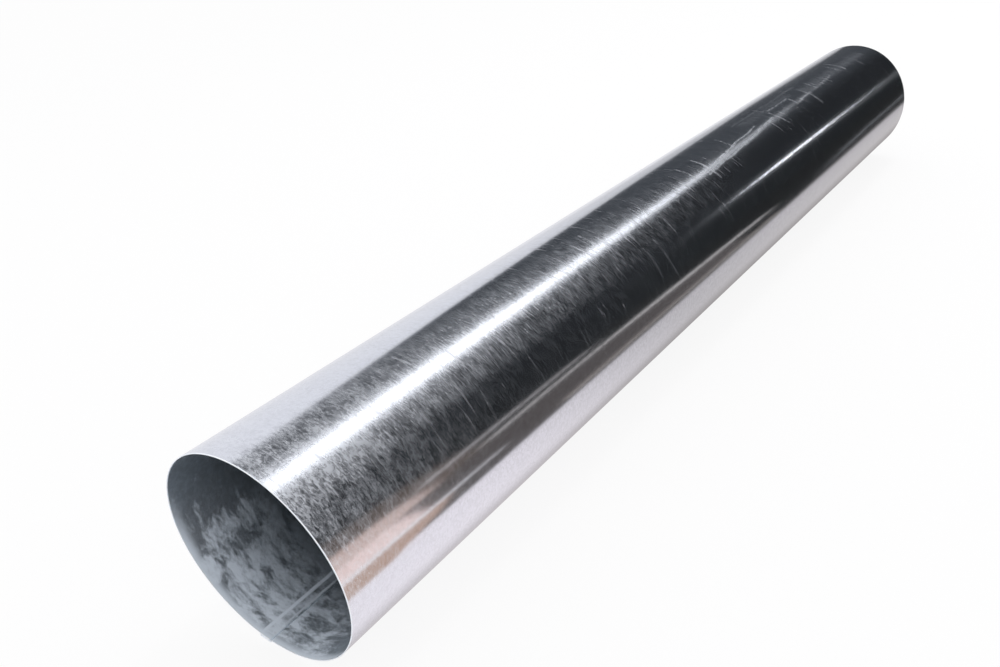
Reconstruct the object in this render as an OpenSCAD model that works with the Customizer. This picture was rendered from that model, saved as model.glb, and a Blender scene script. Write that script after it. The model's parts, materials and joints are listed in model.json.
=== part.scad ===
// Round duct pipe of galvanised sheet steel, lying on the floor.
// One flat sheet is rolled round and its two long edges are hooked into a grooved lock seam.
// The bore stays flush and the seam stands proud outside. Both ends are cut square and plain.
// Millimetres. The pipe lies along X, the floor is z = 0, and the origin is under its middle.

/* [Pipe] */
// Inside diameter of the round bore
bore_d = 200; // [80:1:400]
// Length between the two cut ends
pipe_len = 1500; // [200:10:3000]
// Thickness of the sheet
sheet_t = 0.8; // [0.5:0.1:1.5]

/* [Lock seam] */
// Width over which the hooked edges lie flat on each other
seam_lap = 10; // [6:0.5:20]
// Gap left between one ply of the seam and the next
ply_gap = 0.15; // [0.1:0.05:0.4]
// Distance that each hook's cut edge stays back from the end of the lap
hook_back = 0.6; // [0.2:0.1:2]

/* [Hidden] */
$fn = 180;

steel_colour = [0.62, 0.65, 0.70];

// The seam has four plies, one pitch apart, counted outwards from the wall, which is ply 1
ply_pitch = sheet_t + ply_gap;
function ply_r(ply) = (bore_d + sheet_t) / 2 + (ply - 1) * ply_pitch;
outer_r = ply_r(1) + sheet_t / 2;

// Angles round the axis, from the inner fold, which is drawn at the bottom of the section
function arc_angle(arc_len) = arc_len / ply_r(2) * 180 / PI;
lap_a = arc_angle(seam_lap);
hook_back_a = arc_angle(hook_back);

// The step has two bends, and the chord between their centres is three pitches long
step_chord = 3 * ply_pitch;
step_a = 2 * asin(step_chord / 2 / ply_r(2));

// The pipe has rolled until the floor touches both its wall and the step's upper bend
step_bend_r = 2 * ply_pitch + sheet_t / 2;
rest_turn = acos((outer_r - step_bend_r) / ply_r(2));

// Larger than anything in the section, for the shapes that trim it
reach = 2 * ply_r(4);

// A point given by its radius and its angle from the bottom of the section
function polar(radius, angle) = [radius * sin(angle), -radius * cos(angle)];
inner_fold_at = polar(ply_r(2), 0);
outer_fold_at = polar(ply_r(3), lap_a);
step_foot_at = polar(ply_r(2), -step_a);

// Moves to a point in two steps, to whole microns and then the rest, so that no digit is lost
module at(point) {
    whole = [for (v = point) round(v * 1000) / 1000];
    translate(whole)
        translate(point - whole)
            children();
}

// A ring of sheet round the origin
module sheet_ring(mean_r) {
    difference() {
        circle(r = mean_r + sheet_t / 2);
        circle(r = mean_r - sheet_t / 2);
    }
}

// The half plane to the right (side 1) or left (side -1) of a line up through a point
module half_plane(point, angle, side) {
    at(point)
        rotate(angle)
            translate([side > 0 ? 0 : -reach, -reach])
                square([reach, 2 * reach]);
}

// The stretch of one ply over the lap, kept back at either end if asked
module ply_band(ply, from_a, to_a) {
    intersection() {
        sheet_ring(ply_r(ply));
        half_plane(polar(ply_r(ply), from_a), from_a, 1);
        half_plane(to_a == lap_a ? outer_fold_at : polar(ply_r(ply), to_a), to_a, -1);
    }
}

// A fold that turns the sheet right over, round a point at one end of the lap
module fold_round(point, angle, side) {
    intersection() {
        at(point) sheet_ring(ply_pitch);
        half_plane(point, angle, side);
    }
}

// The round wall, from the inner fold all the way round to the foot of the step
module wall() {
    difference() {
        sheet_ring(ply_r(1));
        intersection() {
            half_plane(step_foot_at, -step_a, 1);
            half_plane(inner_fold_at, 0, -1);
            half_plane([0, 0], 90, -1);
        }
    }
}

// The first edge: folded outwards round ply 2, it ends as ply 3
module inner_hook() {
    fold_round(inner_fold_at, 0, -1);
    ply_band(3, 0, lap_a - hook_back_a);
}

// Two bends lift the sheet from the wall, over the inner fold, to the top ply
module step() {
    chord_turn = 90 - step_a / 2;
    intersection() {
        at(step_foot_at) sheet_ring(ply_pitch);
        half_plane(step_foot_at, -step_a, 1);
        half_plane(inner_fold_at, chord_turn, 1);
    }
    intersection() {
        at(inner_fold_at) sheet_ring(2 * ply_pitch);
        half_plane(inner_fold_at, 0, -1);
        half_plane(inner_fold_at, chord_turn, -1);
    }
}

// The second edge: it covers the lap as ply 4, folds inwards round ply 3 and ends as ply 2
module outer_hook() {
    ply_band(4, 0, lap_a);
    fold_round(outer_fold_at, lap_a, 1);
    ply_band(2, hook_back_a, lap_a);
}

// The whole sheet as rolled and seamed, seen from the -X end
module sheet_section() {
    wall();
    inner_hook();
    step();
    outer_hook();
}

module duct_pipe() {
    color(steel_colour)
        translate([0, 0, outer_r])
            rotate([90, 0, 90])
                rotate(rest_turn)
                    linear_extrude(pipe_len, center = true)
                        sheet_section();
}

duct_pipe();
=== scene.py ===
"""Round duct pipe of galvanised sheet steel, in a plain studio.

The sheet is swept along X from its seamed section and finished with procedural materials.
All sizes are in metres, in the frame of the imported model.
"""

import json
import math

import bmesh
import bpy
from mathutils import Matrix, Vector


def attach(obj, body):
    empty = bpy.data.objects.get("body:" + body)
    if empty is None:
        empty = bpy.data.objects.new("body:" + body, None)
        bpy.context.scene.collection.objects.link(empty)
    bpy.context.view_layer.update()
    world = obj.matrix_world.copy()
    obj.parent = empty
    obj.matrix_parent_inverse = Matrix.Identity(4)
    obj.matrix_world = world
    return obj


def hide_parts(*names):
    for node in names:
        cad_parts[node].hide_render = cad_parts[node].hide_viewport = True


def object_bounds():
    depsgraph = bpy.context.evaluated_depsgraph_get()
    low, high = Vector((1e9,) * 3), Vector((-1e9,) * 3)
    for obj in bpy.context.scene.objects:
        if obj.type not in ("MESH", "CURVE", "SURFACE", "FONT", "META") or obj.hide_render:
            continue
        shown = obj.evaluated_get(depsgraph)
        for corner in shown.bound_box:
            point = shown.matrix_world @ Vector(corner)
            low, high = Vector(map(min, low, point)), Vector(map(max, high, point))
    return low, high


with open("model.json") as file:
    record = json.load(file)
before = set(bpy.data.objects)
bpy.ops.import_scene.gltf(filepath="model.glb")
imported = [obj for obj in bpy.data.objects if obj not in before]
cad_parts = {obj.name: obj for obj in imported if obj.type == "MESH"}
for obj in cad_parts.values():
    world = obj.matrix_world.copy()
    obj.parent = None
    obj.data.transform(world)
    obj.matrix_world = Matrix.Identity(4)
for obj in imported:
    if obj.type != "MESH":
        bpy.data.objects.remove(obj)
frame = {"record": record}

bl_info = {
    "name": "Round Duct Pipe",
    "version": (1, 0, 0),
    "blender": (4, 5, 0),
    "location": "3D View > Sidebar > Duct Pipe",
    "description": "Builds a round galvanised duct pipe with a grooved lock seam, and its studio",
    "category": "Object",
}

CAD_LOW, CAD_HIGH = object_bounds()
BORE_RADIUS = frame["record"]["mounts"][0]["dims"]["r_mm"] / 1000
PIPE_NODE = "duct_pipe"

# Places of the three finishes in the pipe's list of materials
OUTSIDE, INSIDE, CUT = 0, 1, 2

# UV map with the flat layout of the sheet
SHEET_MAP = "sheet"

# Stations of the section closer than this are one station
SAME_PLACE = 1e-7

# Rings of the sheet along X: steps in the rounding of an arris, the distances from the cut end to
# the next two rings, and the number of spans from the second one to its twin at the far end
EDGE_STEPS = 3
EDGE_RING, BODY_RING = 0.0008, 0.004
BODY_SPANS = 24


# Sizes and colours that a user would change


def length_of(name, description, default, low):
    """A length in metres"""
    return bpy.props.FloatProperty(
        name=name, description=description, default=default, min=low, unit="LENGTH", precision=5
    )


def colour_of(name, description, default):
    """A colour, in linear values"""
    return bpy.props.FloatVectorProperty(
        name=name,
        description=description,
        subtype="COLOR",
        size=3,
        default=default,
        min=0.0,
        max=1.0,
    )


def level_of(name, description, default, high=1.0):
    """A plain number from 0 up"""
    return bpy.props.FloatProperty(
        name=name, description=description, default=default, min=0.0, max=high
    )


class DuctPipeSizes(bpy.types.PropertyGroup):
    """Sizes of the pipe, its sheet and its seam"""

    bore_radius: length_of("Bore radius", "Inside radius of the wall", BORE_RADIUS, 0.04)
    length: length_of(
        "Length", "Distance between the two cut ends", CAD_HIGH.x - CAD_LOW.x, 0.2
    )
    sheet: length_of("Sheet", "Thickness of the steel sheet", 0.0008, 0.0005)
    lap: length_of("Seam lap", "Width over which the hooked edges overlap", 0.010, 0.006)
    ply_gap: length_of("Ply gap", "Gap between the plies of the seam", 0.00015, 0.0001)
    hook_back: length_of(
        "Hook set back", "Distance from a hook's cut edge to the end of the lap", 0.0006, 0.0002
    )
    edge_round: length_of("Edge round", "Radius on the arrises of the cut ends", 0.00025, 0.00005)


class DuctPipeFinish(bpy.types.PropertyGroup):
    """Colours and gloss of the zinc"""

    zinc: colour_of("Zinc", "Bright zinc", (0.76, 0.785, 0.86))
    spangle: colour_of("Spangle", "Darker crystals of the spangle", (0.70, 0.725, 0.79))
    rubbed: colour_of("Rubbed zinc", "Dull marks rubbed or scraped into the zinc", (0.77, 0.80, 0.87))
    gaps: colour_of("Gaps", "Darker zinc between the pale flecks", (0.47, 0.49, 0.54))
    # Pale colour of the bloom, also used for the painted light inside the pipe, at the seam, on the
    # lip and in the cut edge
    bloom_and_light: colour_of("Bloom", "Pale bloom inside the pipe", (0.82, 0.90, 1.0))
    # Nearly white: partly a painted highlight along the rim
    cut: colour_of("Cut edge", "Bright sheared edge", (0.95, 0.955, 0.97))
    # Darker than the outside zinc of the same sheet: partly painted shade inside the pipe
    bore: colour_of("Bore", "Dull zinc inside the pipe", (0.49, 0.545, 0.595))
    gloss: level_of("Roughness", "Roughness of the clean zinc", 0.15)
    wear: level_of("Rub marks", "How strongly the rub marks round the pipe show", 1.0, 2.0)


class DuctPipeStudio(bpy.types.PropertyGroup):
    """Camera, lamps and cards of the studio"""

    camera_at: bpy.props.FloatVectorProperty(
        name="Camera",
        description="Place of the camera",
        subtype="TRANSLATION",
        unit="LENGTH",
        size=3,
        default=(-1.0512, -0.5388, 0.5491),
    )
    camera_aim: bpy.props.FloatVectorProperty(
        name="Aim",
        description="Direction in which the camera looks",
        subtype="DIRECTION",
        size=3,
        default=(0.6936, 0.4852, -0.5324),
    )
    camera_roll: bpy.props.FloatProperty(
        name="Roll",
        description="Turn of the camera about its line of sight",
        subtype="ANGLE",
        unit="ROTATION",
        default=math.radians(-5.999),
    )
    lens: bpy.props.FloatProperty(
        name="Lens", description="Focal length in mm, on a 36 mm wide sensor", default=32.166
    )
    shift: bpy.props.FloatVectorProperty(
        name="Shift",
        description="Shift of the lens, as shares of the frame's width",
        size=2,
        default=(-0.0818, 0.0883),
    )
    daylight: level_of("Daylight", "Strength of the even light from all round", 1.0, 2.0)
    floor: colour_of("Floor", "Colour of the floor in light and shadow", (0.86, 0.855, 0.87))
    floor_white: level_of("Floor white", "How far the floor turns to plain white", 0.88)


# How far the floor reaches from the middle of the pipe
FLOOR_REACH = 30.0

# Strip lamps on the ceiling: both ends, width in metres, watts a square metre
LAMPS = [
    ("lamp_window", (0.15, -0.27, 2.5), (1.35, -0.06, 2.5), 0.30, 15.0),
    ("lamp_second", (1.35, -0.06, 2.5), (2.0, -0.03, 2.5), 0.28, 13.0),
    ("lamp_third", (2.0, -0.03, 2.5), (2.6, 0.0, 2.5), 0.36, 7.5),
    ("lamp_fourth", (2.6, 0.0, 2.5), (3.5, 0.03, 2.5), 0.35, 6.6),
    ("lamp_fifth", (3.5, 0.03, 2.5), (4.1, 0.11, 2.5), 0.32, 3.8),
    ("lamp_sixth", (4.1, 0.11, 2.5), (5.0, 0.45, 2.5), 0.28, 1.4),
    ("lamp_last", (5.0, 0.45, 2.5), (5.9, 0.66, 2.5), 0.25, 0.5),
    ("lamp_curtain", (-0.3, -0.30, 2.56), (1.8, -0.02, 2.56), 0.95, 2.0),
    ("lamp_blind", (1.8, -0.02, 2.56), (3.0, 0.02, 2.56), 0.65, 1.0),
    ("lamp_far", (8.8, -4.06, 2.5), (11.7, -4.27, 2.5), 0.12, 33.0),
    ("lamp_farthest", (11.7, -4.27, 2.5), (20.0, -6.3, 2.5), 0.12, 7.0),
]

# Cards that only the zinc mirrors: the dark of a room, the paper under the pipe, a wooden crate.
# They glow with their own colour, with no lamp in them: painted reflections of a room.
# Each has its corners and its colour. The other colour is the one it turns into along X (axis 0)
# or Y (axis 1) over a span, and the shade, a painted shadow of the pipe, darkens it between two
# places across the pipe. Those near the floor lie a little above each other, so that the upper one
# hides the lower.
CARDS = [
    (
        "card_ceiling",
        [(-6, -8, 3), (12, -8, 3), (12, 7.9, 3), (10.5, 7.15, 3), (7, 5.6, 3), (4.4, 4.35, 3),
         (2.95, 3.52, 3), (1.76, 2.72, 3), (1.0, 2.10, 3), (-1.0, 1.2, 3), (-6, 1.2, 3)],
        {"colour": (0.022, 0.024, 0.026), "other": (0.060, 0.066, 0.073), "axis": 1,
         "span": (-1.0, 1.6)},
    ),
    (
        "card_far",
        [(12, -9, 0.001), (12, 3.5, 0.001), (12, 4.3, 0.95), (12, 5.68, 0.99), (12, 7.13, 2.4),
         (12, 7.9, 3), (12, -9, 3)],
        {"colour": (0.019, 0.021, 0.022), "other": (0.075, 0.08, 0.088), "axis": 1,
         "span": (-2.5, 4.0)},
    ),
    (
        "card_right",
        [(-6, -6, 0.001), (12, -6, 0.001), (12, -6, 3), (-6, -6, 3)],
        {"colour": (0.019, 0.021, 0.022)},
    ),
    (
        "card_left",
        [(-6, 9, 0), (40, 9, 0), (40, 9, 12), (-6, 9, 12)],
        {"colour": (0.87, 0.865, 0.885), "other": (0.56, 0.56, 0.575), "span": (7.0, 17.0)},
    ),
    (
        "card_left_floor",
        [(-6, 0.12, 0.001), (12, 0.12, 0.001), (12, 9, 0.001), (-6, 9, 0.001)],
        {"colour": (0.87, 0.865, 0.885), "other": (0.64, 0.64, 0.655), "span": (2.0, 6.0)},
    ),
    (
        "card_floor",
        [(-6, -0.10, 0.0004), (-6, -6, 0.0004), (12, -6, 0.0004), (12, -0.10, 0.0004)],
        {"colour": (0.019, 0.020, 0.020)},
    ),
    (
        "card_paper",
        [(-2.5, -0.217, 0.0008), (-0.3, -0.216, 0.0008), (-0.05, -0.209, 0.0008),
         (0.6, -0.211, 0.0008), (1.1, -0.203, 0.0008), (8, -0.200, 0.0008), (8, -0.03, 0.0008),
         (-2.5, -0.03, 0.0008)],
        {"colour": (1.0, 0.935, 0.945), "other": (0.62, 0.585, 0.575), "span": (-0.62, 0.0),
         "shade": (-0.112, -0.060, 0.38)},
    ),
    (
        "card_plank",
        [(-0.54, -0.225, 0.0012), (-0.38, -0.66, 0.0012), (0.15, -0.62, 0.0012),
         (0.45, -0.40, 0.0012), (0.30, -0.228, 0.0012)],
        {"colour": (0.105, 0.093, 0.088)},
    ),
    (
        "card_board",
        [(-1.0, -0.19, 0.0016), (-1.0, -0.30, 0.0016), (-0.46, -0.30, 0.0016),
         (-0.52, -0.240, 0.0016), (-0.62, -0.200, 0.0016)],
        {"colour": (0.56, 0.38, 0.29)},
    ),
    (
        "card_crate_top",
        [(-1.0, -0.30, 0.0016), (-1.0, -0.66, 0.0016), (-0.34, -0.66, 0.0016),
         (-0.42, -0.47, 0.0016), (-0.50, -0.30, 0.0016)],
        {"colour": (1.0, 0.78, 0.71)},
    ),
    (
        "card_crate_side",
        [(-1.0, -0.66, 0.0), (-1.0, -0.66, 0.17), (-0.46, -0.66, 0.15), (-0.37, -0.66, 0.13),
         (-0.30, -0.66, 0.09), (-0.24, -0.66, 0.0)],
        {"colour": (0.72, 0.55, 0.48)},
    ),
    (
        "card_crate_back",
        [(-1.0, -0.67, 0.0), (-1.0, -0.67, 0.34), (-0.46, -0.67, 0.31), (-0.30, -0.67, 0.25),
         (-0.18, -0.67, 0.14), (-0.10, -0.67, 0.0)],
        {"colour": (0.125, 0.098, 0.082)},
    ),
    (
        "card_crate_edge",
        [(-0.72, -0.345, 0.0024), (-0.55, -0.335, 0.0024), (-0.36, -0.300, 0.0024),
         (-0.36, -0.290, 0.0024), (-0.56, -0.298, 0.0024), (-0.72, -0.310, 0.0024)],
        {"colour": (1.0, 0.97, 0.96)},
    ),
    (
        "card_edge_near",
        [(-0.28, -0.228, 0.0020), (0.42, -0.224, 0.0020), (0.42, -0.240, 0.0020),
         (-0.28, -0.252, 0.0020)],
        {"colour": (0.36, 0.32, 0.29)},
    ),
    (
        "card_edge_line",
        [(-0.20, -0.82, 0.0020), (0.20, -0.80, 0.0020), (0.33, -0.70, 0.0020),
         (0.44, -0.50, 0.0020), (0.60, -0.35, 0.0020), (0.52, -0.345, 0.0020),
         (0.33, -0.46, 0.0020), (0.23, -0.61, 0.0020), (0.12, -0.68, 0.0020),
         (-0.20, -0.70, 0.0020)],
        {"colour": (0.90, 0.85, 0.80)},
    ),
    (
        "card_edge_high",
        [(-0.28, -0.66, 0.104), (0.22, -0.66, 0.076), (0.22, -0.66, 0.094),
         (-0.28, -0.66, 0.128)],
        {"colour": (0.62, 0.58, 0.56)},
    ),
    (
        "card_edge_far",
        [(0.66, -0.258, 0.0020), (1.02, -0.302, 0.0020), (1.27, -0.318, 0.0020),
         (2.4, -0.326, 0.0020), (2.4, -0.341, 0.0020), (1.27, -0.332, 0.0020),
         (1.02, -0.314, 0.0020)],
        {"colour": (0.60, 0.60, 0.61)},
    ),
]

# Scrapes on the outside: metres from the near end and degrees round the section at both ends
# of each, then its width in metres and how strongly it shows
SCRAPES = [
    (0.758, 189, 0.757, 216, 0.0030, 0.80),
    (0.850, 185, 0.848, 199, 0.0025, 0.50),
    (1.010, 194, 1.014, 211, 0.0040, 0.50),
    (1.096, 189, 1.093, 201, 0.0040, 0.50),
    (1.151, 187, 1.150, 215, 0.0045, 0.40),
    (1.193, 187, 1.190, 200, 0.0035, 0.55),
    (1.315, 180, 1.312, 199, 0.0045, 0.35),
    (1.335, 180, 1.333, 200, 0.0040, 0.50),
    (1.400, 186, 1.398, 207, 0.0045, 0.40),
    (1.015, 191, 1.095, 190, 0.0040, 0.50),
    (0.920, 182, 1.160, 181, 0.0040, 0.25),
    (1.180, 200, 1.270, 197, 0.0050, 0.35),
    (1.100, 201, 1.160, 200, 0.0040, 0.50),
    (0.745, 205, 0.860, 199, 0.0030, 0.75),
    (0.860, 199, 0.940, 196, 0.0030, 0.55),
    (0.745, 208, 0.870, 205, 0.0030, 0.70),
    (0.870, 205, 1.000, 200, 0.0050, 0.65),
    (0.550, 222, 0.555, 250, 0.0025, 0.20),
    (0.525, 223, 0.527, 246, 0.0025, 0.20),
    (0.595, 213, 0.594, 226, 0.0030, 0.25),
    (0.715, 187, 0.716, 204, 0.0030, 0.50),
    (0.475, 191, 0.474, 203, 0.0030, 0.45),
    (0.265, 215, 0.267, 226, 0.0025, 0.35),
    (0.175, 188, 0.177, 201, 0.0025, 0.45),
    (1.160, 193, 1.440, 194, 0.0160, 0.20),
    (0.930, 188, 1.110, 187, 0.0120, 0.15),
    (0.980, 202, 1.060, 203, 0.0100, 0.15),
]

# Cloudy patterns of the zinc: waves in a metre along the pipe and in a metre round it, a shift,
# then the detail, the roughness of that detail and the warp
PATTERNS = {
    "dots": (440, 195, 1.7, 4.0, 0.66, 0.5),
    "brushed": (620, 105, 3.1, 5.0, 0.68, 0.3),
    "patches": (85, 45, 7.7, 3.0, 0.55, 0.5),
    "rubs": (260, 17, 6.2, 3.0, 0.6, 0.15),
    "rub_groups": (7, 12, 5.3, 2.0, 0.5, 0.0),
    "waves": (3, 9, 2.6, 2.0, 0.5, 0.0),
    "mottle": (240, 150, 4.4, 4.0, 0.62, 0.3),
    "clouds": (100, 42, 6.1, 4.0, 0.6, 0.5),
    "wisps": (330, 150, 2.9, 4.0, 0.65, 0.6),
    "shear": (900, 260, 0.0, 3.0, 0.6, 0.0),
}

# Crystals of the spangle in a metre along the pipe and in a metre round it
CRYSTALS = (520, 400)

# Middles of the sides that the finish follows, in degrees round the section
UPPER_SIDE = 206
CROWN_SIDE = 207
OUTER_SIDE = 240
# Inside, the bloom, the haze and the lip turn paler towards these low sides: partly painted light
# falling in at the mouth
BLOOM_AND_LIGHT_SIDE = 28
HAZE_AND_LIGHT_SIDE = 15
LIP_SIDE = 25


# Section of the sheet


def polar(radius, angle):
    """Point of the section at a radius and an angle from its bottom, towards +Y"""
    return Vector((radius * math.sin(angle), -radius * math.cos(angle)))


def arc(centre, radius, start, end, step):
    """Points along an arc, each with the normal of the sheet's face side"""
    count = max(2, math.ceil(abs(end - start) / step))
    side = 1 if end < start else -1
    angles = [start + (end - start) * i / count for i in range(count + 1)]
    return [(centre + polar(radius, angle), polar(side, angle)) for angle in angles]


def sheet_path(sizes):
    """Middle line of the sheet, from one hooked edge round the wall to the other

    Each station has its point, the direction of its outer face and its distance along the sheet,
    which is 0 where the wall ends at the inner fold. The outside radius of the wall comes with it.
    """
    # The seam has four plies, one pitch apart, and the lap and the hooks are angles on the second
    pitch = sizes.sheet + sizes.ply_gap
    ply = [sizes.bore_radius + sizes.sheet / 2 + i * pitch for i in range(4)]
    lap = sizes.lap / ply[1]
    back = sizes.hook_back / ply[1]

    # The step has two bends, with a chord of three pitches between their centres
    step = 2 * math.asin(1.5 * pitch / ply[1])

    # The pipe has rolled until the floor touches both its wall and the step's upper bend
    outer = ply[0] + sizes.sheet / 2
    turn = math.acos((outer - 2 * pitch - sizes.sheet / 2) / ply[1])

    axis = Vector((0, 0))
    inner_fold = polar(ply[1], turn)
    outer_fold = polar(ply[2], turn + lap)
    step_foot = polar(ply[1], turn - step)
    chord = turn - step / 2 - math.pi / 2
    lap_step, fold_step, wall_step = math.radians(0.7), math.radians(15), math.radians(1.5)
    wall = arc(axis, ply[0], turn - step, turn - 2 * math.pi, wall_step)
    runs = [
        arc(axis, ply[1], turn + back, turn + lap, lap_step),
        arc(outer_fold, pitch, turn + lap + math.pi, turn + lap, fold_step),
        arc(axis, ply[3], turn + lap, turn, lap_step),
        arc(inner_fold, 2 * pitch, turn, chord, fold_step),
        arc(step_foot, pitch, chord + math.pi, turn - step + math.pi, fold_step),
        wall,
        arc(inner_fold, pitch, turn - math.pi, turn, fold_step),
        arc(axis, ply[2], turn, turn + lap - back, lap_step),
    ]
    path = []
    wall_end = 0.0
    for run in runs:
        for point, away in run:
            gap = (point - path[-1][0]).length if path else 0.0
            if not path or gap > SAME_PLACE:
                path.append((point, away, path[-1][2] + gap if path else 0.0))
        if run is wall:
            wall_end = path[-1][2]
    return [(point, away, far - wall_end) for point, away, far in path], outer


def sheet_spot(sizes, along, degrees):
    """Place in the flat layout of a point outside the wall, from its angle round the section"""
    # Several plies lie at one angle in the seam, so the way that the outer face looks counts too
    path, _ = sheet_path(sizes)
    wanted = polar(1, math.radians(degrees))
    near = min(path, key=lambda station: -(station[0].normalized() @ wanted) - station[1] @ wanted)
    return Vector((along, near[2]))


def sheet_rings(sizes):
    """Places along X, and half the sheet's thickness there, with both cut ends rounded"""
    half, edge, end = sizes.sheet / 2, sizes.edge_round, sizes.length / 2
    near = [
        (-end + edge * (1 - math.cos(a)), half - edge * (1 - math.sin(a)))
        for a in (math.radians(90 * i / EDGE_STEPS) for i in range(EDGE_STEPS + 1))
    ]
    near += [(-end + EDGE_RING, half), (-end + BODY_RING, half)]
    span = 2 * (end - BODY_RING) / BODY_SPANS
    body = [(-end + BODY_RING + span * i, half) for i in range(1, BODY_SPANS)]
    return near + body + [(-x, thick) for x, thick in reversed(near)]


def sweep_sheet(sizes):
    """The whole sheet as one closed mesh, with its flat layout in metres as a UV map"""
    path, outer = sheet_path(sizes)
    rings = sheet_rings(sizes)
    mesh = bmesh.new()
    layout = mesh.loops.layers.uv.new(SHEET_MAP)
    flat = {}
    skins = {}
    for side in (1, -1):
        for j, (x, half) in enumerate(rings):
            for i, (point, away, far) in enumerate(path):
                at = point + away * half * side
                vert = mesh.verts.new((x, at.x, at.y + outer))
                flat[vert] = (x + sizes.length / 2, far)
                skins[side, j, i] = vert
    last_ring, last = len(rings) - 1, len(path) - 1

    def face(finish, *corners):
        made = mesh.faces.new([skins[corner] for corner in corners])
        made.material_index = finish
        made.smooth = finish != CUT
        for loop in made.loops:
            loop[layout].uv = flat[loop.vert]

    for j in range(last_ring):
        for i in range(last):
            face(OUTSIDE, (1, j, i), (1, j + 1, i), (1, j + 1, i + 1), (1, j, i + 1))
            face(INSIDE, (-1, j, i), (-1, j, i + 1), (-1, j + 1, i + 1), (-1, j + 1, i))
        face(CUT, (1, j, 0), (-1, j, 0), (-1, j + 1, 0), (1, j + 1, 0))
        face(CUT, (1, j, last), (1, j + 1, last), (-1, j + 1, last), (-1, j, last))
    for i in range(last):
        face(CUT, (1, 0, i), (1, 0, i + 1), (-1, 0, i + 1), (-1, 0, i))
        face(
            CUT, (1, last_ring, i), (-1, last_ring, i), (-1, last_ring, i + 1), (1, last_ring, i + 1)
        )

    # The rounded arrises at both ends, and a narrow band beyond them on both faces, have the cut
    # edge's finish, which is partly a painted highlight along the rim
    rounds = {*range(EDGE_STEPS + 1), *range(last_ring - EDGE_STEPS - 1, last_ring)}
    rows = {skins[side, j, i]: j for side, j, i in skins}
    for made in mesh.faces:
        if min(rows[vert] for vert in made.verts) in rounds:
            made.material_index = CUT
    return mesh


# Node trees


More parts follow.
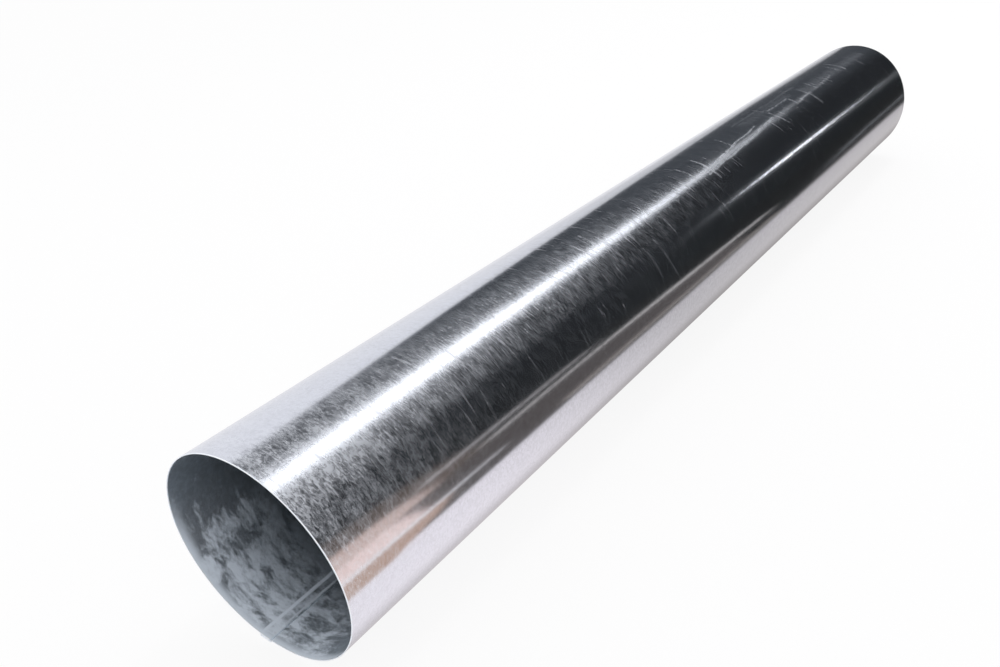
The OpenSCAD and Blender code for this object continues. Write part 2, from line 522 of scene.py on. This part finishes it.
class Tree:
    """Adds nodes to a material or a world and wires them up"""

    def __init__(self, owner):
        owner.use_nodes = True
        self.nodes = owner.node_tree.nodes
        self.links = owner.node_tree.links
        self.nodes.clear()

    def feed(self, socket, value):
        """A socket takes another socket, a number or a colour"""
        if isinstance(value, bpy.types.NodeSocket):
            self.links.new(value, socket)
        elif socket.type == "RGBA" and len(value) == 3:
            socket.default_value = (*value, 1.0)
        else:
            socket.default_value = value

    def add(self, kind, inputs=None, **settings):
        """One node with its settings, and its inputs by name or number"""
        node = self.nodes.new(kind)
        for name, value in settings.items():
            setattr(node, name, value)
        for name, value in (inputs or {}).items():
            self.feed(node.inputs[name], value)
        return node

    def math(self, operation, *values, clamp=False):
        """A sum on numbers or sockets"""
        inputs = dict(enumerate(values))
        return self.add("ShaderNodeMath", inputs, operation=operation, use_clamp=clamp).outputs[0]

    def product(self, first, *others):
        """Numbers or sockets multiplied together"""
        for other in others:
            first = self.math("MULTIPLY", first, other)
        return first

    def total(self, start, *pairs):
        """A start, with the product of each pair added to it"""
        for value, weight in pairs:
            start = self.math("MULTIPLY_ADD", value, weight, start)
        return start

    def most(self, first, *others):
        """The largest of some numbers or sockets"""
        for other in others:
            first = self.math("MAXIMUM", first, other)
        return first

    def vector(self, operation, *values, out="Vector"):
        """A sum on places or directions"""
        node = self.add("ShaderNodeVectorMath", dict(enumerate(values)), operation=operation)
        return node.outputs[out]

    def mix(self, share, first, second):
        """Two numbers mixed by a share"""
        inputs = {"Value": share, "To Min": first, "To Max": second}
        return self.add("ShaderNodeMapRange", inputs).outputs[0]

    def blend(self, share, first, second):
        """Two colours mixed by a share"""
        node = self.add("ShaderNodeMix", data_type="RGBA")
        sockets = {socket.identifier: socket for socket in node.inputs}
        self.feed(sockets["Factor_Float"], share)
        self.feed(sockets["A_Color"], first)
        self.feed(sockets["B_Color"], second)
        return next(s for s in node.outputs if s.identifier == "Result_Color")

    def between(self, value, low, high, to_low=0.0, to_high=1.0):
        """A value taken smoothly from one span to another, and held at both ends"""
        inputs = {
            "Value": value,
            "From Min": low,
            "From Max": high,
            "To Min": to_low,
            "To Max": to_high,
        }
        return self.add("ShaderNodeMapRange", inputs, interpolation_type="SMOOTHSTEP").outputs[0]

    def band(self, value, middle, core, fade):
        """1 within a distance of the middle, fading to 0 beyond it"""
        away = self.math("ABSOLUTE", self.math("SUBTRACT", value, middle))
        return self.between(away, core, core + fade, 1.0, 0.0)

    def layout(self):
        """The flat layout of the sheet: metres along the pipe, and metres round the sheet"""
        return self.add("ShaderNodeUVMap", uv_map=SHEET_MAP).outputs[0]

    def stretched(self, flat, along, around, shift=0.0):
        """The flat layout, scaled along the pipe and round it"""
        inputs = {"Vector": flat, "Scale": (along, around, 1), "Location": (shift, shift, 0)}
        return self.add("ShaderNodeMapping", inputs).outputs[0]

    def pattern(self, flat, name):
        """One of the cloudy patterns, between 0 and 1"""
        along, around, shift, detail, rough, warp = PATTERNS[name]
        inputs = {
            "Vector": self.stretched(flat, along, around, shift),
            "Scale": 1.0,
            "Detail": detail,
            "Roughness": rough,
            "Distortion": warp,
        }
        return self.add("ShaderNodeTexNoise", inputs).outputs[0]

    def wandering(self, flat, scale, reach):
        """The flat layout shifted a little here and there, so that what follows it is crooked"""
        shifts = self.add(
            "ShaderNodeTexNoise", {"Vector": flat, "Scale": scale, "Detail": 2.0}
        ).outputs["Color"]
        moved = self.vector("MULTIPLY_ADD", shifts, (reach, reach, 0), flat)
        return self.vector("SUBTRACT", moved, (reach / 2, reach / 2, 0))

    def facing(self, degrees, sizes):
        """1 on the wall's line at an angle of the section, falling to -1 opposite it"""
        angle = math.radians(degrees)
        place = self.add("ShaderNodeTexCoord").outputs["Object"]
        outer = sizes.bore_radius + sizes.sheet
        towards = (0, math.sin(angle) / outer, -math.cos(angle) / outer)
        share = self.vector("DOT_PRODUCT", place, towards, out="Value")
        return self.math("ADD", share, math.cos(angle))

    def strokes(self, flat, marks):
        """Short straight marks from point to point of the layout, each fading at its sides"""
        shown = 0.0
        for start, end, width, strength in marks:
            run = Vector((*(end - start), 0))
            from_start = self.vector("SUBTRACT", flat, (*start, 0))
            share = self.vector(
                "DOT_PRODUCT", from_start, tuple(run / run.length_squared), out="Value"
            )
            share = self.math("MULTIPLY", share, 1.0, clamp=True)
            nearest = self.add(
                "ShaderNodeVectorMath", {0: tuple(run), "Scale": share}, operation="SCALE"
            ).outputs[0]
            away = self.vector("DISTANCE", from_start, nearest, out="Value")
            shown = self.most(shown, self.between(away, 0.0, width, strength, 0.0))
        return shown

    def relief(self, height, strength, deep, under=None):
        """A fine relief, laid over another one where that is given"""
        inputs = {"Strength": strength, "Distance": deep, "Height": height}
        if under is not None:
            inputs["Normal"] = under
        return self.add("ShaderNodeBump", inputs).outputs[0]

    def surface(self, colour, metal, rough, relief=None):
        """The finished surface of the steel"""
        inputs = {"Base Color": colour, "Metallic": metal, "Roughness": rough}
        if relief is not None:
            inputs["Normal"] = relief
        shader = self.add("ShaderNodeBsdfPrincipled", inputs)
        self.add("ShaderNodeOutputMaterial", {"Surface": shader.outputs[0]})


# Finishes


def spangled_zinc(tree, finish, flat, grain):
    """Bright zinc whose crystals differ a little in colour"""
    crystals = tree.add(
        "ShaderNodeTexVoronoi", {"Vector": tree.stretched(flat, *CRYSTALS), "Scale": 1.0}
    )
    crystal = tree.add("ShaderNodeSeparateColor", {0: crystals.outputs["Color"]}).outputs[0]
    spangle = tree.total(0.0, (crystal, 0.35), (grain, 0.65))
    return tree.blend(tree.between(spangle, 0.36, 0.66), finish.spangle, finish.zinc)


def flecks(tree, flat, grain, worked):
    """Pale flecks on the worked zinc in uneven patches, and the darker gaps between them"""
    uneven = tree.math("SUBTRACT", tree.pattern(flat, "patches"), 0.5)
    lift = tree.total(grain, (worked, 0.12), (uneven, 0.40))
    shown = tree.between(worked, 0.0, 0.45, 0.14, 1.0)
    frost = tree.product(tree.between(lift, 0.46, 0.84), shown)
    gaps = tree.product(tree.between(lift, 0.40, 0.66, 1.0, 0.0), shown)
    return frost, gaps


def rub_marks(tree, finish, flat, along, upper):
    """Rub marks round the upper side, in groups, and weaker towards the far end"""
    lines = tree.between(tree.pattern(flat, "rubs"), 0.56, 0.74)
    groups = tree.between(tree.pattern(flat, "rub_groups"), 0.34, 0.58)
    weaker = tree.between(along, 0.50, 0.90, 1.0, 0.60)
    rubs = tree.product(lines, groups, upper, weaker)
    return tree.math("MULTIPLY", rubs, finish.wear, clamp=True)


def scrape_marks(tree, finish, flat, marks, brushed):
    """The scrapes, a little crooked, and broken where the brushed pattern is low"""
    scrapes = tree.strokes(tree.wandering(flat, 26.0, 0.006), marks)
    scrapes = tree.product(scrapes, tree.between(brushed, 0.30, 0.60))
    return tree.math("MULTIPLY", scrapes, finish.wear, clamp=True)


def galvanised_outside(finish, sizes, marks):
    """Bright spangled zinc, frosted near the mouth, rubbed round the pipe and scraped further on"""
    steel = bpy.data.materials.new("galvanised_outside")
    tree = Tree(steel)
    flat = tree.layout()
    along = tree.add("ShaderNodeSeparateXYZ", {0: flat}).outputs[0]

    # How worked the zinc is: most at the mouth, and along the pipe on its upper side
    mouthed = tree.between(along, -0.10, 0.34, 1.0, 0.0)
    handled = tree.between(along, 0.0, 1.2, 1.0, 0.0)
    upper = tree.between(tree.facing(UPPER_SIDE, sizes), 0.55, 0.90, 0.15, 1.0)
    crown = tree.between(tree.facing(CROWN_SIDE, sizes), 0.905, 0.975)
    outer_side = tree.between(tree.facing(OUTER_SIDE, sizes), 0.60, 0.90, 0.70, 1.0)
    worked = tree.most(mouthed, tree.product(handled, upper))
    at_mouth = tree.product(mouthed, mouthed, outer_side)
    on_crown = tree.product(handled, crown)

    # Dots at the mouth turn into marks brushed round the pipe further on
    brushed = tree.pattern(flat, "brushed")
    grain = tree.mix(mouthed, brushed, tree.pattern(flat, "dots"))
    frost, gaps = flecks(tree, flat, grain, worked)
    rub = rub_marks(tree, finish, flat, along, upper)
    scrape = scrape_marks(tree, finish, flat, marks, brushed)

    zinc = spangled_zinc(tree, finish, flat, grain)
    zinc = tree.blend(tree.product(gaps, crown), zinc, finish.gaps)
    worn = tree.most(frost, tree.product(rub, 0.6), scrape)
    colour = tree.blend(worn, zinc, finish.rubbed)

    # Worn zinc is rougher, and shows more of its own colour and less of the room
    rough = tree.total(
        finish.gloss, (on_crown, 0.10), (tree.product(frost, crown), 0.05), (rub, 0.22), (scrape, 0.25)
    )
    dull = tree.total(
        0.0,
        (at_mouth, tree.total(0.05, (frost, 0.44))),
        (tree.product(on_crown, handled), tree.total(0.045, (frost, 0.24))),
        (frost, 0.026),
        (rub, 0.10),
        (scrape, 0.34),
    )
    metal = tree.math("SUBTRACT", 1.0, dull, clamp=True)

    # The grain stands out a little, and the whole sheet is a little wavy
    height = tree.product(grain, tree.total(0.02, (on_crown, 0.22), (mouthed, 0.16)))
    relief = tree.relief(height, 0.5, 0.0003)
    relief = tree.relief(tree.pattern(flat, "waves"), 0.5, 0.0003, relief)
    tree.surface(colour, metal, rough, relief)
    return steel


def galvanised_inside(finish, sizes):
    """Dull dark zinc, with pale bloom in soft clouds low down near the mouth and at the seam. The pale
    colour is partly painted light, and the dark zinc partly painted shade.
    """
    steel = bpy.data.materials.new("galvanised_inside")
    tree = Tree(steel)
    flat = tree.layout()
    along, around, _ = tree.add("ShaderNodeSeparateXYZ", {0: flat}).outputs

    # Bloom lies in clouds low down, over a haze that grows towards the low side, and both fade into
    # the pipe. Much of this pale colour is painted light, lying low down near the mouth where the
    # light falls in.
    low = tree.between(tree.facing(BLOOM_AND_LIGHT_SIDE, sizes), 0.15, 1.0)
    haze_and_light = tree.between(tree.facing(HAZE_AND_LIGHT_SIDE, sizes), -0.4, 0.8, 0.05, 0.26)
    clouds = tree.product(tree.pattern(flat, "clouds"), 0.70)
    clouds = tree.total(clouds, (tree.pattern(flat, "wisps"), 0.30))
    bloom_and_light = tree.between(tree.total(clouds, (low, 0.25)), 0.53, 0.84)
    bloom_and_light = tree.product(tree.most(bloom_and_light, haze_and_light), tree.between(along, 0.0, 0.12, 1.0, 0.06))

    # The seam shows as a fine crest and a wider crease, with a smear between them at the mouth. The
    # pale crest and crease are painted highlights on the folds, and the smear is partly bloom and
    # partly painted light. All of them fade into the pipe.
    crest = tree.band(around, -0.0012, 0.0007, 0.0010)
    crease = tree.band(around, -sizes.lap, 0.0010, 0.0022)
    seam = tree.product(
        tree.most(tree.product(crest, 0.8), crease), tree.between(along, 0.0, 0.14, 1.0, 0.4)
    )
    smear_and_light = tree.product(
        tree.between(around, -sizes.lap, 0.002 - sizes.lap),
        tree.between(clouds, 0.20, 0.46),
        tree.between(along, 0.0, 0.06, 1.0, 0.0),
    )

    # Painted light: the lip at the mouth is pale on its lower side, where the light falls in
    lip = tree.product(
        tree.between(along, 0.001, 0.014, 1.0, 0.0),
        tree.between(tree.facing(LIP_SIDE, sizes), -0.1, 0.7),
    )
    # Pale colour gathers the bloom, the seam and the lip, with their painted light
    pale = tree.most(bloom_and_light, smear_and_light, seam, lip)

    mottle = tree.pattern(flat, "mottle")
    # The bore colour is partly painted shade inside the pipe, and the mottle darkens it a little more
    # here and there
    deep = tuple(0.82 * part for part in finish.bore)
    zinc = tree.blend(tree.between(mottle, 0.36, 0.66), deep, finish.bore)
    tree.surface(
        tree.blend(pale, zinc, finish.bloom_and_light),
        tree.math("SUBTRACT", 1.0, pale, clamp=True),
        tree.total(0.32, (pale, 0.25), (mottle, 0.12)),
        tree.relief(tree.total(mottle, (crest, 2.0)), 0.4, 0.00008),
    )
    return steel


def sheared_edge_and_highlight(finish):
    """Bright sheared steel of the cut ends, nearly white and hardly metal, and so partly a painted
    highlight along the rim
    """
    steel = bpy.data.materials.new("sheared_edge_and_highlight")
    tree = Tree(steel)
    shear = tree.pattern(tree.layout(), "shear")
    colour = tree.blend(tree.between(shear, 0.3, 0.7), finish.bloom_and_light, finish.cut)
    tree.surface(colour, 0.1, tree.total(0.35, (shear, 0.2)))
    return steel


# Studio


def seen_plainly(tree):
    """1 for what the camera, gloss or glass sees, and 0 for light that falls on something"""
    path = tree.add("ShaderNodeLightPath").outputs
    return tree.most(path["Is Camera Ray"], path["Is Glossy Ray"], path["Is Transmission Ray"])


def flat_piece(name, corners, material):
    """A flat piece of the studio, from its corners in order"""
    mesh = bpy.data.meshes.new(name)
    mesh.from_pydata(corners, [], [list(range(len(corners)))])
    mesh.materials.append(material)
    piece = bpy.data.objects.new(name, mesh)
    bpy.context.scene.collection.objects.link(piece)
    return piece


def card_material(name, colour, other=None, axis=0, span=(0.0, 1.0), shade=None):
    """Even colour of a studio card, glowing as a painted reflection, or one that turns into another
    along X or Y, and darkened by a painted shadow where a shade is given
    """
    card = bpy.data.materials.new(name)
    tree = Tree(card)
    shown = colour
    place = tree.add("ShaderNodeTexCoord").outputs["Object"]
    places = tree.add("ShaderNodeSeparateXYZ", {0: place}).outputs
    if other:
        shown = tree.blend(tree.between(places[axis], *span), shown, other)
    if shade:
        start, end, depth = shade
        shown = tree.blend(tree.between(places[1], start, end, 0.0, depth), shown, (0.0, 0.0, 0.0))
    plain = tree.add("ShaderNodeEmission", {"Color": shown, "Strength": 1.0})
    tree.add("ShaderNodeOutputMaterial", {"Surface": plain.outputs[0]})
    return card


def add_card(name, corners, colours):
    """A flat card that is seen only where the zinc mirrors it"""
    card = flat_piece(name, corners, card_material(name, **colours))
    card.visible_camera = False
    card.visible_diffuse = False
    card.visible_shadow = False
    card.visible_transmission = False


def add_strip_lamp(name, start, end, width, glow):
    """A strip lamp between two points of the ceiling, shining down, of so many watts a square metre"""
    lamp = bpy.data.lights.new(name, "AREA")
    start, end = Vector(start), Vector(end)
    run = end - start
    lamp.shape, lamp.size, lamp.size_y = "RECTANGLE", run.length, width
    lamp.energy = glow * run.length * width
    held = bpy.data.objects.new(name, lamp)
    held.location = (start + end) / 2
    held.rotation_euler = (0, 0, math.atan2(run.y, run.x))
    held.visible_camera = False
    bpy.context.scene.collection.objects.link(held)


def add_camera(studio):
    """The camera, where the photograph was taken from"""
    lens = bpy.data.cameras.new("camera")
    lens.lens, lens.sensor_width, lens.sensor_fit = studio.lens, 36.0, "HORIZONTAL"
    lens.shift_x, lens.shift_y = studio.shift
    lens.clip_start, lens.clip_end = 0.01, 100.0
    aim = Vector(studio.camera_aim).normalized()
    level = aim.cross(Vector((0, 0, 1))).normalized()
    above = level.cross(aim)
    turn = studio.camera_roll
    right = level * math.cos(turn) + above * math.sin(turn)
    up = right.cross(aim)
    camera = bpy.data.objects.new("camera", lens)
    axes = Matrix((right, up, -aim)).transposed().to_4x4()
    camera.matrix_world = Matrix.Translation(studio.camera_at) @ axes
    bpy.context.scene.collection.objects.link(camera)
    bpy.context.scene.camera = camera


def add_floor(studio):
    """A pale floor under the pipe, which keeps its shadow and looks nearly white"""
    paint = bpy.data.materials.new("floor_paint")
    tree = Tree(paint)
    shading = tree.add("ShaderNodeBsdfDiffuse", {"Color": studio.floor})
    white = tree.add("ShaderNodeEmission", {"Color": (1, 1, 1), "Strength": 1.0})
    share = tree.product(seen_plainly(tree), studio.floor_white)
    surface = tree.add(
        "ShaderNodeMixShader", {0: share, 1: shading.outputs[0], 2: white.outputs[0]}
    )
    tree.add("ShaderNodeOutputMaterial", {"Surface": surface.outputs[0]})
    reach = FLOOR_REACH
    corners = [(-reach, -reach, 0), (reach, -reach, 0), (reach, reach, 0), (-reach, reach, 0)]
    floor = flat_piece("floor", corners, paint)


def add_daylight(studio):
    """Even light from all round, which looks white behind the pipe"""
    world = bpy.data.worlds.new("daylight")
    bpy.context.scene.world = world
    tree = Tree(world)
    even = tree.add("ShaderNodeBackground", {"Color": (1, 1, 1), "Strength": studio.daylight})
    white = tree.add("ShaderNodeBackground", {"Color": (1, 1, 1), "Strength": 1.0})
    sky = tree.add(
        "ShaderNodeMixShader", {0: seen_plainly(tree), 1: even.outputs[0], 2: white.outputs[0]}
    )
    tree.add("ShaderNodeOutputWorld", {"Surface": sky.outputs[0]})


# Operators


class DUCTPIPE_OT_add_pipe(bpy.types.Operator):
    """Build the seamed sheet of the pipe, with its finish"""

    bl_idname = "ductpipe.add_pipe"
    bl_label = "Duct pipe"
    bl_options = {"REGISTER", "UNDO"}

    def execute(self, context):
        sizes, finish = context.scene.ductpipe_sizes, context.scene.ductpipe_finish
        swept = sweep_sheet(sizes)
        mesh = bpy.data.meshes.new("duct_pipe_sheet")
        swept.to_mesh(mesh)
        swept.free()
        marks = [
            (sheet_spot(sizes, x, a), sheet_spot(sizes, end_x, end_a), width, strength)
            for x, a, end_x, end_a, width, strength in SCRAPES
        ]
        mesh.materials.append(galvanised_outside(finish, sizes, marks))
        mesh.materials.append(galvanised_inside(finish, sizes))
        mesh.materials.append(sheared_edge_and_highlight(finish))
        if mesh.validate():
            raise RuntimeError("the swept sheet of the pipe has faulty faces")
        pipe = bpy.data.objects.new("duct_pipe_sheet", mesh)
        context.scene.collection.objects.link(pipe)
        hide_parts(PIPE_NODE)
        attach(pipe, "root")
        return {"FINISHED"}


class DUCTPIPE_OT_add_stage(bpy.types.Operator):
    """Set up the camera, the floor, the daylight, the lamps and the cards"""

    bl_idname = "ductpipe.add_stage"
    bl_label = "Studio"
    bl_options = {"REGISTER", "UNDO"}

    def execute(self, context):
        studio = context.scene.ductpipe_studio
        context.scene.view_settings.view_transform = "Standard"
        add_camera(studio)
        add_floor(studio)
        add_daylight(studio)
        for name, start, end, width, glow in LAMPS:
            add_strip_lamp(name, start, end, width, glow)
        for name, corners, colours in CARDS:
            add_card(name, corners, colours)
        return {"FINISHED"}


class DUCTPIPE_PT_panel(bpy.types.Panel):
    """Lists the steps that build the duct pipe and its studio"""

    bl_idname = "DUCTPIPE_PT_panel"
    bl_label = "Duct Pipe"
    bl_space_type = "VIEW_3D"
    bl_region_type = "UI"
    bl_category = "Duct Pipe"

    def draw(self, context):
        for operator in (DUCTPIPE_OT_add_pipe, DUCTPIPE_OT_add_stage):
            self.layout.operator(operator.bl_idname)
        for group in ("ductpipe_sizes", "ductpipe_finish", "ductpipe_studio"):
            held = getattr(context.scene, group)
            box = self.layout.box()
            for name in held.__annotations__:
                box.prop(held, name)


GROUPS = {
    "ductpipe_sizes": DuctPipeSizes,
    "ductpipe_finish": DuctPipeFinish,
    "ductpipe_studio": DuctPipeStudio,
}
CLASSES = (*GROUPS.values(), DUCTPIPE_OT_add_pipe, DUCTPIPE_OT_add_stage, DUCTPIPE_PT_panel)


def register():
    """Adds the classes, and the property groups to the scene"""
    for added in CLASSES:
        bpy.utils.register_class(added)
    for name, group in GROUPS.items():
        setattr(bpy.types.Scene, name, bpy.props.PointerProperty(type=group))


def unregister():
    """Takes the property groups and the classes away again"""
    for name in GROUPS:
        delattr(bpy.types.Scene, name)
    for added in reversed(CLASSES):
        bpy.utils.unregister_class(added)


def main():
    register()
    bpy.ops.ductpipe.add_pipe()
    bpy.ops.ductpipe.add_stage()


if __name__ == "__main__":
    main()
